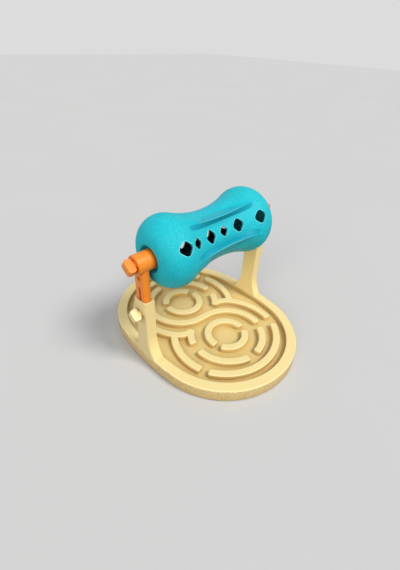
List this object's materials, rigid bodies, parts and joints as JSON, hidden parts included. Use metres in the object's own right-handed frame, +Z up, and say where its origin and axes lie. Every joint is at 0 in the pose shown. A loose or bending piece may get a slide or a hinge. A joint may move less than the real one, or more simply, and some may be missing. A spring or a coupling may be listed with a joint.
{
  "type": "dog puzzle feeder",
  "caption": "Hollow teal bone with treat holes that spins on an axle between two height-adjustable risers over an oval cream maze feeding tray.",
  "frame": {"origin": "middle of the footprint, on the ground under the feet", "axes": "+X along the bone's axle, +Y along the tray's long axis away from the side where the hole panel looks up, +Z up"},
  "size_m": [0.2294, 0.27, 0.1897],
  "materials": {
    "cream_plastic": "satin",
    "teal_plastic": "satin",
    "orange_plastic": "satin",
    "flange_orange": "satin",
    "foot_rubber": "matt"
  },
  "bodies": {
    "base": {"base_tray": "cream_plastic", "foot_near_left": "foot_rubber", "foot_near_right": "foot_rubber", "foot_far_left": "foot_rubber", "foot_far_right": "foot_rubber"},
    "riser_left": {"riser_left": "orange_plastic"},
    "riser_right": {"riser_right": "orange_plastic"},
    "bone": {"bone_half_front": "teal_plastic", "bone_half_back": "teal_plastic", "bush_left": "flange_orange", "bush_right": "flange_orange"},
    "axle_pin_left": {"axle_pin_left": "orange_plastic"},
    "axle_pin_right": {"axle_pin_right": "orange_plastic"},
    "height_lock_left": {"height_lock_left": "cream_plastic"},
    "height_lock_right": {"height_lock_right": "cream_plastic"}
  },
  "joints": [
    {"name": "riser_left_slide", "type": "slide", "parent": "base", "child": "riser_left", "axis": [0, 0, 1], "range_m": [-0.034, 0.011]},
    {"name": "riser_right_slide", "type": "slide", "parent": "base", "child": "riser_right", "axis": [0, 0, 1], "range_m": [-0.034, 0.011]},
    {"name": "bone_spin", "type": "hinge", "parent": "riser_left", "child": "bone", "pos_m": [0, 0, 0.148], "axis": [1, 0, 0], "continuous": true},
    {"name": "axle_pin_left_turn", "type": "hinge", "parent": "riser_left", "child": "axle_pin_left", "pos_m": [-0.1045, 0, 0.148], "axis": [-1, 0, 0], "range_deg": [0, 90]},
    {"name": "axle_pin_right_turn", "type": "hinge", "parent": "riser_right", "child": "axle_pin_right", "pos_m": [0.1045, 0, 0.148], "axis": [1, 0, 0], "range_deg": [0, 90]},
    {"name": "height_lock_left_turn", "type": "hinge", "parent": "base", "child": "height_lock_left", "pos_m": [-0.1023, 0, 0.0826], "axis": [-1, 0, 0], "range_deg": [0, 90]},
    {"name": "height_lock_right_turn", "type": "hinge", "parent": "base", "child": "height_lock_right", "pos_m": [0.1023, 0, 0.0826], "axis": [1, 0, 0], "range_deg": [0, 90]}
  ],
  "couplings": [
    {"joint": "riser_right_slide", "follows": "riser_left_slide", "ratio": 1}
  ]
}
